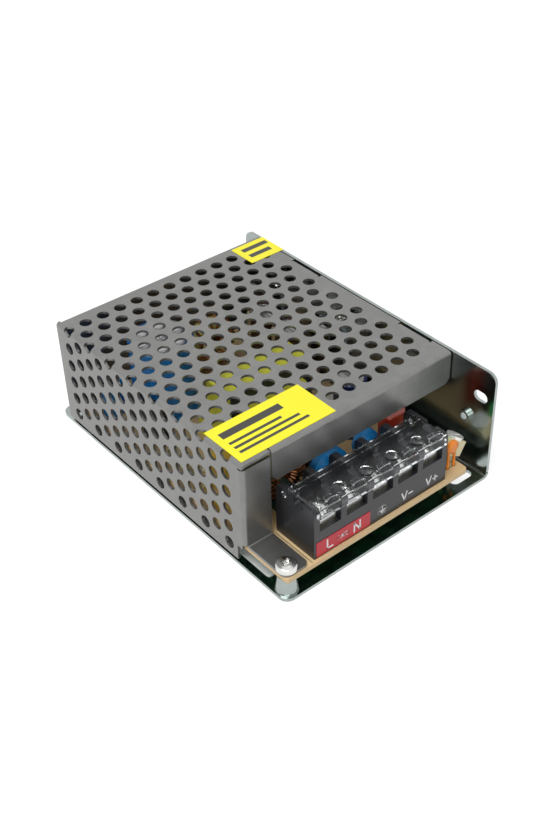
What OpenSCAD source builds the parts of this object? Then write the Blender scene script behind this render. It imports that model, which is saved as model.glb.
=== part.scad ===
// Enclosed switching power supply, 60 W class: a folded base bracket, a folded
// perforated cover, the circuit board with its parts, and a five-way barrier
// terminal block under a hinged clear cover.  Millimetres.
// X runs along the terminals, the terminals face -Y, Z is up.  The origin is the
// centre of the base's underside.

/* [Case] */
// Overall width
case_w = 78; // [76:1:90]
// Overall depth, along the side wall
case_d = 111; // [109:1:125]
// Overall height
case_h = 37; // [36:0.5:43]
// Sheet thickness of the base bracket
base_t = 1.0; // [0.8:0.1:1.2]
// Outer radius of the base bracket's bend
base_bend_r = 1.8; // [1.5:0.1:2.5]
// Corner radius of the base and of the side wall
corner_r = 3; // [2:0.5:4]

/* [Cover] */
// Sheet thickness of the cover
cover_t = 0.8; // [0.6:0.1:1.0]
// Outer radius of the cover's bends
cover_bend_r = 1.2; // [1.1:0.1:1.6]
// From the base's front edge to the cover
front_setback = 16.7; // [16.1:0.1:18]
// From the cover to the base's rear edge
rear_setback = 5.7; // [4:0.1:8]
// Gap between the cover and the side wall, and round the rear tongue
wall_gap = 0.4; // [0.3:0.05:0.6]
// Gap between the cover's lower edges and the base
foot_gap = 1.0; // [0.3:0.1:1.4]
// Height of the flap above the terminals
front_flap_h = 10.7; // [9:0.1:10.9]
// Width of the corner flap beside the terminals
side_flap_w = 9.5; // [9:0.1:10]
// Gap between two flaps
flap_gap = 0.6; // [0.4:0.1:1]
// How far the side wall's foot stands back beside the corner flap
foot_notch = 3.4; // [2:0.1:5]
// Width and height of each tab that is screwed to the side wall
wall_tab = [12, 7.2]; // [6:0.1:14]
// Width and height of the rear tongue
tongue = [10, 1.7]; // [1.1:0.1:14]

/* [Perforation] */
// Diameter of a vent hole
vent_d = 3.8; // [3:0.1:4.4]
// Hole pitch along a row
vent_pitch = 6.15; // [5.8:0.05:7]
// Pitch from row to row
vent_row = 5.4; // [5.2:0.05:6.5]
// From the cover's left face to the first full hole
vent_left = 6.61; // [6.2:0.01:6.8]
// From the cover's rear face to the first row
vent_rear = 6.0; // [5:0.1:8]
// Least distance from a hole's centre to the front and right edges
vent_edge = 5; // [4:0.1:7]
// Least distance from a hole's centre to the side wall's foot
vent_foot = 3; // [2.5:0.1:5]
// How far the pattern drops at the bend
vent_bend = 0.8; // [0.4:0.1:1.2]

/* [Circuit board] */
// Board thickness
board_t = 1.6; // [1.2:0.1:2]
// Height of the embossed posts above the base plate
post_h = 5.0; // [4.5:0.1:6]
// Post radius at its foot and at its top
post_r = [3.4, 2.6]; // [2.4:0.1:4]
// From the base's left and front edges to the board
board_inset = [1.4, 1.0]; // [0.5:0.1:2]
// From the base's right and rear edges to the board
board_margin = [8.4, 9.0]; // [8.2:0.1:10]
// Board width that the parts' places are stated for
plan_w = 68.2; // [68:0.1:69]
// From the board's edges to the middle of the corner flap's screw
board_screw_inset = [2.4, 3.1]; // [2.2:0.1:4]
// From the board's right and front edges to the plain post
plain_post_inset = [5.6, 13]; // [5:0.1:14]
// Thickness of the insulating sheet
film_t = 0.3; // [0.2:0.05:0.5]
// Lead radius and the clearance round a lead
lead_r = 0.4; // [0.3:0.05:0.5]
// Clearance round a lead in the board
lead_gap = 0.2; // [0.1:0.05:0.3]
// How far the leads stick out under the board
lead_out = 1.2; // [0.5:0.1:2]

/* [Screws] */
// Thread radius of every M3 screw
thread_r = 1.45; // [1.4:0.01:1.48]
// Radial play in a threaded hole
thread_play = 0.05; // [0.02:0.01:0.08]
// Radius of a clearance hole
clear_r = 1.7; // [1.6:0.05:1.8]
// Radius of an open M3 thread, at its core
core_r = 1.25; // [1.2:0.05:1.3]
// Pan head radius and height
pan_head = [3.0, 2.0]; // [1.6:0.1:3.2]
// Countersunk head radius
flat_head_r = 2.75; // [2.5:0.05:3]
// Screw length under the head
screw_len = 6; // [5:0.5:6]

/* [Mounting] */
// From the front edge and from the base to the side wall's front slot
side_slot_at = [4.9, 27.5]; // [4:0.1:30]
// Width and length of the side wall's front slot
side_slot = [3.4, 5]; // [3:0.1:6]
// From the front and rear edges to the threaded holes in the side wall
side_thread_y = [9.6, 9.6]; // [9:0.1:10.5]
// Height of the threaded holes in the side wall
side_thread_z = 18.3; // [15:0.1:21]
// Outer radius and depth of an extruded thread
collar = [2.0, 1.1]; // [1:0.1:2.2]
// Width and length of the base's slots
base_slot = [3.6, 8]; // [3.2:0.1:9]
// From the base's right and front edges to the front slot
base_slot_at = [7, 4.7]; // [4.3:0.1:9]
// Spacing of the threaded holes in the base
base_thread_pitch = [50, 70]; // [40:1:74]

/* [Terminal block] */
// Number of terminals
ways = 5; // [5]
// Terminal pitch
way_pitch = 9.5; // [9.3:0.1:9.6]
// Thickness of the walls between terminals
divider_t = 2.0; // [1.8:0.1:2.2]
// Block depth
block_d = 15.6; // [15.4:0.1:15.8]
// Height of the terminal floor above the board
block_floor_h = 9.0; // [8.5:0.1:9.5]
// Height of the walls above the board
block_wall_h = 16.8; // [16.4:0.1:17]
// From the base's left edge to the block
block_left = 11.6; // [11:0.1:12]
// From the board's front edge to the block
block_inset = 0.9; // [0.7:0.1:1.1]
// Depth of the raised part behind the terminals
block_back_d = 5.4; // [5:0.1:5.6]
// Height of the raised part above the terminal floor
block_back_h = 2.6; // [2:0.1:2.8]
// Notch in the top of each wall: from the block's front, width, depth
wall_notch = [4.4, 3.8, 2.2]; // [1.5:0.1:4.6]
// From the block's front face to the contact plates
contact_inset = 1.4; // [1.2:0.1:1.6]
// Contact plate: width, depth, thickness
contact = [6.6, 8.0, 0.8]; // [0.6:0.1:8.5]
// Clamp plate: width, depth, thickness
clamp = [6.6, 7.4, 1.0]; // [0.8:0.1:8]
// Width and height of the ridge along each side of a clamp plate
clamp_ridge = [0.45, 0.5]; // [0.3:0.05:0.5]
// Length of a terminal screw under its head
terminal_screw_len = 7; // [6:0.5:7.5]

/* [Terminal cover] */
// Thickness of the clear cover
lid_t = 1.2; // [1:0.1:1.4]
// Gap between the clear cover and the walls under it
lid_gap = 0.3; // [0.25:0.05:0.4]
// How far the clear cover's left and right ends stand in from the block's ends
lid_inset = [0.6, 2.2]; // [0.4:0.1:2.2]
// From the block's rear face and from the walls' top to the hinge axis
lid_pivot = [3.4, 1.7]; // [1.6:0.1:3.6]
// Hinge peg radius
peg_r = 0.95; // [0.9:0.01:0.97]
// Radial play of the hinge peg
peg_play = 0.05; // [0.03:0.01:0.08]
// From the hinge axis to the clear cover's back edge
lid_back = 1.2; // [1.1:0.1:1.4]
// Height of the clear cover's front lip
lid_lip_h = 3.6; // [3:0.1:4]
// Gap between the front lip and the block
lip_gap = 0.4; // [0.3:0.05:0.5]
// Radius and height of the bosses on the clear cover
lid_boss = [1.9, 0.6]; // [0.4:0.1:2.2]

/* [Labels] */
// Thickness of a sticker
label_t = 0.12; // [0.08:0.01:0.2]
// Size of the top label
top_label_size = [32.4, 15.8]; // [14:0.1:36]
// From the cover's left and front faces to the top label
top_label_at = [1.2, 1.4]; // [1.2:0.1:3]
// Size of the seal across the joint of cover and side wall
seal_size = [12.9, 10.8]; // [8:0.1:14]
// From the cover's rear face to the seal
seal_rear = 1.8; // [1.4:0.1:6]
// Size of the red field on the terminal block
mains_label_size = [19.4, 5.0]; // [4:0.1:20]

/* [Power devices] */
// Heat bar: thickness, length, height
bar = [6.2, 46, 18]; // [5:0.1:48]
// From the base's rear edge to the heat bar, and its height above the base plate
bar_at = [13.5, 9]; // [8:0.1:15]
// Device body: thickness, width, height of plastic, height with its tab
device = [4.4, 10.2, 9.4, 15.6]; // [4:0.1:16]
// Height of the devices above the board
device_lift = 4.0; // [3:0.1:5]
// Thickness of an insulating pad
pad_t = 0.3; // [0.2:0.05:0.4]
// Spring clip: thickness and width
clip = [0.8, 8]; // [0.6:0.1:9]
// From the base's rear edge to the rectifier and to the switching transistor
device_y = [20.5, 50.5]; // [19:0.5:52]

/* [Wound parts and capacitors] */
// Transformer core: width, thickness, height
core_size = [30, 12, 20]; // [10:0.5:31]
// Thickness of the core's outer limbs and width of its middle leg
core_limb = [4.5, 8]; // [3.5:0.1:9]
// Transformer bobbin base: width, depth, height
bobbin = [29, 23, 3]; // [2:0.5:30]
// Depth of the transformer winding
winding_d = 22; // [18:0.5:23]
// Bulk capacitor: radius and height
bulk_can = [10, 25.5]; // [9:0.5:26]
// Output capacitors: radius and height
output_can = [5, 20]; // [4:0.5:22]
// Small electrolytic capacitor: radius and height
small_can = [4, 12]; // [3:0.5:14]
// Mains filter capacitor: width, depth, height
filter_box = [8.5, 18, 16]; // [8:0.5:20]
// Common mode choke: ring radius and section radius
choke = [5.2, 2.2]; // [2:0.1:6]
// Output inductor: ring radius and section radius
inductor = [6.4, 2.6]; // [2:0.1:7]
// Radius of the winding wire
wire_r = 0.4; // [0.3:0.05:0.45]
// Tilt of the output trimmer towards the side wall
trimmer_tilt = 30; // [25:1:32]
// Trimmer body: width and height
trimmer = [5.4, 4.8]; // [4:0.1:5.6]
// Trimmer rotor: radius, height, shaft radius
rotor = [2.6, 0.9, 1.0]; // [0.8:0.05:2.8]

/* [Hidden] */
$fn = 48;
eps = 0.01;
way_list = [1 : ways];

x_left = -case_w / 2;
x_right = case_w / 2;
y_front = -case_d / 2;
y_rear = case_d / 2;
wall_in = x_right - base_t;

cover_x1 = wall_in - wall_gap;
cover_y0 = y_front + front_setback;
cover_y1 = y_rear - rear_setback;
cover_in = case_h - cover_t;
foot_z = base_t + foot_gap;
flap_x0 = x_left + side_flap_w + flap_gap;
rear_flap_x0 = x_left + cover_t + wall_gap;

board_z = base_t + post_h;
board_top = board_z + board_t;
board_x0 = x_left + board_inset[0];
board_y0 = y_front + board_inset[1];
board_x1 = x_right - board_margin[0];
board_y1 = y_rear - board_margin[1];
lead_z = board_z - lead_out;

// Tab of the corner flap, screwed down over the board's corner
tab_y0 = board_y0 + 0.3;
tab_r = 2;
tab_screw = [board_x0 + board_screw_inset[0], board_y0 + board_screw_inset[1]];
rear_left_screw = [board_x0 + board_screw_inset[1], board_y1 - board_screw_inset[1]];
rear_right_screw = [board_x1 - board_screw_inset[1], rear_left_screw[1]];
plain_post = [board_x1 - plain_post_inset[0], board_y0 + plain_post_inset[1]];
posts = [tab_screw, rear_left_screw, rear_right_screw];

// Terminal block
block_w = ways * way_pitch + divider_t;
block_x0 = x_left + block_left;
block_x1 = block_x0 + block_w;
block_y0 = board_y0 + block_inset;
block_y1 = block_y0 + block_d;
floor_z = board_top + block_floor_h;
wall_z = board_top + block_wall_h;
bay_w = way_pitch - divider_t;
clamp_y0 = block_y0 + contact_inset;
contact_z = floor_z + contact[2];
clamp_z = contact_z + clamp[2];
screw_y = clamp_y0 + clamp[1] / 2;
pivot_y = block_y1 - lid_pivot[0];
pivot_z = wall_z - lid_pivot[1];
lid_z = wall_z + lid_gap;
lid_y0 = block_y0 - lip_gap - 1.0;
lid_y1 = pivot_y - lid_back;

// Power devices
bar_x0 = wall_in - bar[0];
bar_y1 = y_rear - bar_at[0];
bar_z0 = base_t + bar_at[1];
bar_z1 = bar_z0 + bar[2];
device_x1 = bar_x0 - pad_t;
device_x0 = device_x1 - device[0];
device_z = board_top + device_lift;
rectifier_y = y_rear - device_y[0];
transistor_y = y_rear - device_y[1];
clip_screw_x = wall_in - bar[0] / 2;

// Screws through the side wall: two into the cover's tabs, two into the heat bar
wall_tab_y = [cover_y0 + 14, y_rear - 32];
wall_tab_z = case_h - 4.2;
bar_screw_y = [rectifier_y - 9, transistor_y + 9];
bar_screw_z = (bar_z0 + bar_z1) / 2;

// Places of the board's parts, from the board's left front corner: beside the terminal
// block as stated, and elsewhere spread over the board's width
function near(p) = [board_x0 + p[0], board_y0 + p[1]];
function at(p) = near([p[0] * (board_x1 - board_x0) / plan_w, p[1]]);
transformer_at = at([34.6, 53]);
bulk_at = at([20.5, 82]);
small_at = at([6.4, 91]);
output_at = [at([54.6, 35.5]), at([57.6, 67.5]), at([57.6, 79.5])];
filter_at = at([6.9, 29.5]);
choke_at = at([19.7, 25.8]);
varistor_at = at([31.9, 19.9]);
suppressor_at = at([46, 19.9]);
film_at = at([57.2, 20.8]);
disc_at = near([64.9, 3.7]);
lamp_at = near([64.2, 7.5]);
trimmer_at = near([67, 7.6]);
inductor_at = at([42.4, 88.5]);
bridge_at = at([7.4, 71.5]);
fuse_at = at([6.6, 51]);
thermistor_at = at([15.2, 44]);
chip_at = at([34.6, 33.5]);
coupler_at = at([57.6, 45.5]);
resistor_at = at([33, 72]);

bulk_leads = pair(bulk_at, 10, 0);
small_leads = pair(small_at, 3.5, 90);
output_leads = [for (p = output_at) each pair(p, 5, 0)];
filter_leads = pair(filter_at, 15, 90);
choke_leads = concat(pair([choke_at[0], choke_at[1] - 3.6], 8, 0),
    pair([choke_at[0], choke_at[1] + 3.6], 8, 0));
varistor_leads = pair(varistor_at, 7.5, 0);
suppressor_leads = pair(suppressor_at, 5, 0);
film_leads = pair(film_at, 5, 0);
disc_leads = pair(disc_at, 2.5, 0);
lamp_leads = pair(lamp_at, 2.5, 90);
trimmer_leads = concat(pair(trimmer_at, 4, 90), [[trimmer_at[0] - 1.4, trimmer_at[1]]]);
inductor_leads = pair(inductor_at, 12.8, 0);
bridge_leads = [for (k = [-1.5 : 1 : 1.5]) [bridge_at[0], bridge_at[1] + k * 3.8]];
fuse_leads = pair(fuse_at, 23.6, 90);
thermistor_leads = pair(thermistor_at, 5, 90);
chip_leads = dip(chip_at, 4);
coupler_leads = dip(coupler_at, 2);
resistor_leads = pair(resistor_at, 15, 0);
device_leads = [for (y = [rectifier_y, transistor_y], k = [-1, 0, 1]) [device_x1 - 2.4, y + k * 2.54]];
transformer_leads = [for (s = [-1, 1], k = [-1.5 : 1 : 1.5])
    [transformer_at[0] + k * 5, transformer_at[1] + s * (bobbin[1] / 2 - 1.5)]];
contact_leads = [for (n = way_list) [way_x(n), contact_pin_y()]];
all_leads = concat(bulk_leads, small_leads, output_leads, filter_leads, choke_leads, varistor_leads,
    suppressor_leads, film_leads, disc_leads, lamp_leads, trimmer_leads, inductor_leads, bridge_leads,
    fuse_leads, thermistor_leads, chip_leads, coupler_leads, resistor_leads, device_leads,
    transformer_leads, contact_leads);

// Two points a pitch apart, along X at angle 0 and along Y at angle 90
function pair(p, pitch, angle) =
    [for (s = [-1, 1]) [p[0] + s * cos(angle) * pitch / 2, p[1] + s * sin(angle) * pitch / 2]];
// The leads of a dual in-line part with n leads a side
function dip(p, n) =
    [for (s = [-1, 1], k = [0 : n - 1]) [p[0] + (k - (n - 1) / 2) * 2.54, p[1] + s * 3.81]];
function way_x(n) = block_x0 + divider_t / 2 + (n - 0.5) * way_pitch;
function contact_pin_y() = clamp_y0 + contact[1] - 0.6;

// ---------------------------------------------------------------- shared shapes

// Rectangle with round corners, from p to q
module rounded(p, q, r) {
    translate([p[0] + r, p[1]]) square([q[0] - p[0] - 2 * r, q[1] - p[1]]);
    translate([p[0], p[1] + r]) square([q[0] - p[0], q[1] - p[1] - 2 * r]);
    for (x = [p[0] + r, q[0] - r], y = [p[1] + r, q[1] - r]) translate([x, y]) circle(r);
}

// Slot of width w and length l along X
module slot(w, l) {
    translate([-(l - w) / 2, -w / 2]) square([l - w, w]);
    for (s = [-1, 1]) translate([s * (l - w) / 2, 0]) circle(w / 2);
}

// Section of a folded sheet: the outer corner at the origin, one leg along +X,
// the other along -Y
module elbow(a, b, t, r) {
    translate([r, -t]) square([a - r, t]);
    translate([0, -b]) square([t, b - r]);
    intersection() {
        translate([r, -r]) difference() {
            circle(r);
            circle(r - t);
        }
        translate([0, -r]) square([r, r]);
    }
}

// Puts a drawing's X and Y on the part's X and Z, and runs it from y0 to y1
module along_y(y0, y1) {
    translate([0, y1, 0]) rotate([90, 0, 0]) linear_extrude(y1 - y0) children();
}

// Puts a drawing's X and Y on the part's Y and Z, and runs it from x0 to x1
module along_x(x0, x1) {
    translate([x0, 0, 0]) rotate([90, 0, 90]) linear_extrude(x1 - x0) children();
}

// Solid between two heights
module between(z0, z1) {
    translate([0, 0, z0]) linear_extrude(z1 - z0) children();
}

// Bore along Z between two heights
module bore(p, r, z0, z1) {
    translate([p[0], p[1], z0]) cylinder(r = r, h = z1 - z0);
}

// Straight leads down through the board from height z
module leads(points, z, r = lead_r) {
    for (p = points) bore(p, r, lead_z, z);
}

// Pan head screw: the underside of the head at the origin, the thread along -Z
module pan_screw(len, head = pan_head) {
    difference() {
        union() {
            translate([0, 0, -len]) cylinder(r = thread_r, h = len + eps);
            intersection() {
                cylinder(r = head[0], h = head[1]);
                translate([0, 0, head[1] - 3 * head[0]]) sphere(r = 3 * head[0]);
            }
        }
        for (a = [0, 90]) rotate([0, 0, a])
            translate([-1.7, -0.35, head[1] - 1.2]) cube([3.4, 0.7, 2]);
    }
}

// Countersunk screw: the top of the head at the origin, the thread along -Z
module flat_screw(len) {
    difference() {
        union() {
            translate([0, 0, -len]) cylinder(r = thread_r, h = len - base_t + eps);
            translate([0, 0, -base_t])
                cylinder(r1 = flat_head_r - base_t - thread_play, r2 = flat_head_r - thread_play, h = base_t);
        }
        for (a = [0, 90]) rotate([0, 0, a]) translate([-1.3, -0.3, -0.9]) cube([2.6, 0.6, 2]);
    }
}

// Ring of round section, axis along Y, hung at the origin
module ring(radius, section) {
    rotate([90, 0, 0]) rotate_extrude() translate([radius, 0]) circle(section);
}

// ---------------------------------------------------------------- sheet metal

// Embossed post, formed up out of the base plate
module post(p, hole) {
    translate([p[0], p[1], 0]) rotate_extrude() polygon([
        [post_r[0] - base_t, 0], [post_r[0], 0], [post_r[0], base_t], [post_r[1], board_z],
        [hole, board_z], [hole, board_z - base_t], [post_r[1] - 0.8, board_z - base_t]]);
}

module base_bracket() {
    base_threads = [for (sx = [-1, 1], sy = [-1, 1])
        [sx * base_thread_pitch[0] / 2, sy * base_thread_pitch[1] / 2]];
    side_threads = [y_front + side_thread_y[0], y_rear - side_thread_y[1]];
    color("gainsboro") difference() {
        union() {
            // Base plate, up to the bend
            between(0, base_t) difference() {
                intersection() {
                    rounded([x_left, y_front], [x_right + corner_r, y_rear], corner_r);
                    translate([x_left, y_front]) square([case_w - base_bend_r, case_d]);
                }
                for (p = concat(posts, [plain_post])) translate(p) circle(post_r[0] - base_t / 2);
                for (s = [-1, 1])
                    translate([x_right - base_slot_at[0], s * (case_d / 2 - base_slot_at[1])])
                        slot(base_slot[0], base_slot[1]);
                translate([-tongue[0] / 2 - wall_gap, cover_y1 - cover_t - wall_gap])
                    square([tongue[0] + 2 * wall_gap, cover_t + 2 * wall_gap]);
            }
            // Side wall with its round corners
            along_x(wall_in, x_right) intersection() {
                rounded([y_front, 0], [y_rear, case_h], corner_r);
                translate([y_front, base_bend_r]) square([case_d, case_h]);
            }
            // Bend between them
            along_y(y_front, y_rear) translate([x_right, 0]) mirror([1, 0]) mirror([0, 1])
                elbow(base_bend_r + eps, base_bend_r + eps, base_t, base_bend_r);
            for (p = posts) post(p, thread_r + thread_play);
            post(plain_post, 0.8);
            for (p = base_threads) bore(p, collar[0], 0, base_t + collar[1]);
            for (y = side_threads) translate([wall_in - collar[1], y, side_thread_z])
                rotate([0, 90, 0]) cylinder(r = collar[0], h = collar[1] + base_t);
        }
        for (p = base_threads) bore(p, core_r, -1, base_t + collar[1] + 1);
        for (y = side_threads) translate([wall_in - collar[1] - 1, y, side_thread_z])
            rotate([0, 90, 0]) cylinder(r = core_r, h = collar[1] + base_t + 2);
        along_x(wall_in - 1, x_right + 1)
            translate([y_front + side_slot_at[0], side_slot_at[1]]) slot(side_slot[0], side_slot[1]);
        for (y = wall_tab_y) countersink(y, wall_tab_z);
        for (y = bar_screw_y) countersink(y, bar_screw_z);
    }
}

// Countersunk hole in the side wall
module countersink(y, z) {
    translate([wall_in, y, z]) rotate([0, 90, 0])
        cylinder(r1 = flat_head_r - base_t, r2 = flat_head_r, h = base_t);
}

// Vent holes of the top: whole holes only, odd rows set half a pitch to the left
module top_vents() {
    rows = floor((cover_y1 - cover_y0 - vent_rear - vent_edge) / vent_row);
    for (j = [0 : rows]) {
        x0 = x_left + vent_left - (j % 2) * vent_pitch / 2;
        for (i = [0 : floor((cover_x1 - x0 - vent_edge) / vent_pitch)])
            translate([x0 + i * vent_pitch, cover_y1 - vent_rear - j * vent_row]) circle(vent_d / 2);
    }
}

// Vent holes of the left wall, which carry the same pattern on below the bend
module wall_vents() {
    rows = floor((cover_y1 - cover_y0 - vent_rear - vent_edge) / vent_row);
    for (j = [0 : rows]) {
        drop = vent_bend - vent_left + (2 - (j % 2) / 2) * vent_pitch;
        for (k = [0 : floor((case_h - drop - foot_z - vent_foot) / vent_pitch)])
            translate([cover_y1 - vent_rear - j * vent_row, case_h - drop - k * vent_pitch])
                circle(vent_d / 2);
    }
}

// Even rows have one more hole, which lies across the bend
module bend_vents() {
    rows = floor((cover_y1 - cover_y0 - vent_rear - vent_edge) / vent_row);
    for (j = [0 : 2 : rows]) translate([0, cover_y1 - vent_rear - j * vent_row, 0]) {
        translate([x_left + vent_left - vent_pitch, 0, case_h - cover_bend_r])
            cylinder(r = vent_d / 2, h = 2 * cover_bend_r);
        translate([x_left - 1, 0, case_h - vent_bend + vent_left - vent_pitch])
            rotate([0, 90, 0]) cylinder(r = vent_d / 2, h = 1 + cover_bend_r);
    }
}

module cover() {
    r = cover_bend_r;
    flap_top = case_h - r - flap_gap;
    color("silver") difference() {
        union() {
            // Top sheet
            between(cover_in, case_h) difference() {
                translate([x_left + r, cover_y0])
                    square([cover_x1 - x_left - r, cover_y1 - cover_y0]);
                translate([flap_x0, cover_y0 - 1]) square([case_w, 1 + r]);
                translate([flap_x0 - flap_gap, cover_y0 - 1]) square([flap_gap + eps, 2.6]);
                translate([rear_flap_x0, cover_y1 - r]) square([case_w, 1 + r]);
                for (y = wall_tab_y) translate([cover_x1 - r, y - wall_tab[0] / 2 - flap_gap])
                    square([r + 1, wall_tab[0] + 2 * flap_gap]);
                top_vents();
            }
            // Left wall
            along_x(x_left, x_left + cover_t) difference() {
                translate([cover_y0 + r, foot_z]) square([cover_y1 - cover_y0 - r, case_h - r - foot_z]);
                translate([cover_y0, 0]) square([foot_notch, board_top - 0.4]);
                wall_vents();
            }
            // Bend between top and left wall
            along_y(cover_y0, cover_y1) translate([x_left, case_h])
                elbow(r + eps, r + eps, cover_t, r);
            // Corner flap, folded from the left wall
            between(board_top + r, flap_top) translate([x_left, cover_y0]) mirror([0, 1])
                elbow(side_flap_w, r + eps, cover_t, r);
            // Its foot, folded forward over the board
            tab();
            // Flap above the terminals
            front_flap();
            // Rear flap and its tongue
            along_x(rear_flap_x0, cover_x1) translate([cover_y1, case_h]) mirror([1, 0])
                elbow(r + eps, case_h - foot_z, cover_t, r);
            translate([-tongue[0] / 2, cover_y1 - cover_t, foot_z - tongue[1]])
                cube([tongue[0], cover_t, tongue[1] + eps]);
            // Tabs for the side wall's screws
            for (y = wall_tab_y) {
                along_y(y - wall_tab[0] / 2, y + wall_tab[0] / 2) translate([cover_x1, case_h])
                    mirror([1, 0]) elbow(r + eps, wall_tab[1], cover_t, r);
                translate([cover_x1 - cover_t - 1, y, wall_tab_z])
                    rotate([0, 90, 0]) cylinder(r = collar[0] + 0.2, h = 1 + cover_t);
            }
        }
        bend_vents();
        // Relief slot over the corner flap
        translate([x_left - 1, cover_y0 - 1, flap_top]) cube([1 + r, 2.6, case_h - r - flap_top]);
        bore(tab_screw, clear_r, board_top - 1, board_top + 2);
        for (y = wall_tab_y) translate([cover_x1 - 4, y, wall_tab_z])
            rotate([0, 90, 0]) cylinder(r = thread_r + thread_play, h = 6);
    }
}

// Foot of the corner flap, with round front corners
module tab() {
    r = cover_bend_r;
    x0 = x_left + r;
    x1 = x_left + side_flap_w;
    between(board_top, board_top + cover_t) intersection() {
        rounded([x0, tab_y0], [x1, cover_y0 + 4], tab_r);
        translate([x0, tab_y0]) square([x1 - x0, cover_y0 + cover_t - r - tab_y0]);
    }
    along_x(x0, x1) translate([cover_y0 + cover_t, board_top]) mirror([1, 0]) mirror([0, 1])
        elbow(r + eps, r + eps, cover_t, r);
}

// Flap above the terminals, with cut lower corners
module front_flap() {
    r = cover_bend_r;
    cut = 1.5;
    along_x(flap_x0, cover_x1) translate([cover_y0, case_h]) elbow(r + eps, r + eps, cover_t, r);
    translate([0, cover_y0 + cover_t, 0]) rotate([90, 0, 0]) linear_extrude(cover_t) polygon([
        [flap_x0, case_h - r], [flap_x0, case_h - front_flap_h + cut],
        [flap_x0 + cut, case_h - front_flap_h], [cover_x1 - cut, case_h - front_flap_h],
        [cover_x1, case_h - front_flap_h + cut], [cover_x1, case_h - r]]);
}

module insulating_sheet() {
    color("whitesmoke") between(base_t, base_t + film_t) difference() {
        rounded([board_x0 + 1, board_y0 + 9], [board_x1 - 1, board_y1 - 1], 1);
        for (p = concat(posts, [plain_post])) translate(p) circle(post_r[0] + 0.4);
        for (sx = [-1, 1], sy = [-1, 1])
            translate([sx * base_thread_pitch[0] / 2, sy * base_thread_pitch[1] / 2])
                circle(collar[0] + 0.4);
    }
}

// ---------------------------------------------------------------- board and screws

module circuit_board() {
    color("burlywood") between(board_z, board_top) difference() {
        rounded([board_x0, board_y0], [board_x1, board_y1], 1);
        for (p = posts) translate(p) circle(clear_r);
        for (p = all_leads) translate(p) circle(lead_r + lead_gap);
    }
}

module board_screws() {
    color("lightgrey") {
        translate([tab_screw[0], tab_screw[1], board_top + cover_t]) pan_screw(screw_len);
        for (p = [rear_left_screw, rear_right_screw])
            translate([p[0], p[1], board_top]) pan_screw(screw_len - cover_t);
    }
}

module wall_screws() {
    places = concat([for (y = wall_tab_y) [y, wall_tab_z]], [for (y = bar_screw_y) [y, bar_screw_z]]);
    color("lightgrey") for (p = places)
        translate([x_right, p[0], p[1]]) rotate([0, 90, 0]) flat_screw(screw_len - 1);
}

// ---------------------------------------------------------------- power devices

module heat_bar() {
    color("silver") difference() {
        translate([bar_x0, bar_y1 - bar[1], bar_z0]) cube([bar[0], bar[1], bar[2]]);
        for (y = bar_screw_y) translate([wall_in - screw_len, y, bar_screw_z])
            rotate([0, 90, 0]) cylinder(r = thread_r + thread_play, h = screw_len + 1);
        for (y = [rectifier_y, transistor_y])
            bore([clip_screw_x, y], thread_r + thread_play, bar_z1 - screw_len, bar_z1 + 1);
    }
}

// Flat power device: plastic body, metal tab with its hole, three leads
module power_device(y) {
    tab_t = 1.3;
    translate([device_x0, y - device[1] / 2, device_z]) cube([device[0], device[1], device[2]]);
    difference() {
        translate([device_x1 - tab_t, y - device[1] / 2, device_z + device[2] - eps])
            cube([tab_t, device[1], device[3] - device[2] + eps]);
        translate([device_x1 - 2 * tab_t, y, device_z + device[3] - 2.8])
            rotate([0, 90, 0]) cylinder(r = 1.8, h = 3 * tab_t);
    }
    leads([for (k = [-1, 0, 1]) [device_x1 - 2.4, y + k * 2.54]], device_z + eps);
}

module switching_transistor() { color("dimgrey") power_device(transistor_y); }
module output_rectifier() { color("dimgrey") power_device(rectifier_y); }

module insulating_pad(y) {
    color("lightblue") translate([device_x1, y - device[1] / 2 - 1, device_z - 1])
        cube([pad_t, device[1] + 2, bar_z1 - device_z + 1]);
}
module transistor_pad() { insulating_pad(transistor_y); }
module rectifier_pad() { insulating_pad(rectifier_y); }

// Spring clip: held down on the bar's top, pressing on the device's face
module spring_clip(y) {
    color("gainsboro") difference() {
        along_y(y - clip[1] / 2, y + clip[1] / 2)
            translate([device_x0 - clip[0], bar_z1 + clip[0]])
                elbow(wall_in - 0.6 - device_x0 + clip[0], bar_z1 + clip[0] - device_z - 2, clip[0], 1.6);
        bore([clip_screw_x, y], clear_r, bar_z1 - 1, bar_z1 + 2);
    }
}
module transistor_clip() { spring_clip(transistor_y); }
module rectifier_clip() { spring_clip(rectifier_y); }

module clip_screws() {
    color("lightgrey") for (y = [rectifier_y, transistor_y])
        translate([clip_screw_x, y, bar_z1 + clip[0]]) pan_screw(screw_len - 0.5, [2.7, 1.9]);
}

// ---------------------------------------------------------------- terminals

// Outline of a wall between terminals, with the notch that leaves two ears
module wall_outline() {
    notch_y0 = block_y0 + wall_notch[0];
    difference() {
        union() {
            translate([block_y0, board_top]) square([block_d, block_wall_h - 2]);
            rounded([block_y0, board_top + 4], [block_y1, wall_z], 1.4);
        }
        rounded([notch_y0, wall_z - wall_notch[2]], [notch_y0 + wall_notch[1], wall_z + 4], 0.8);
    }
}

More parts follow.
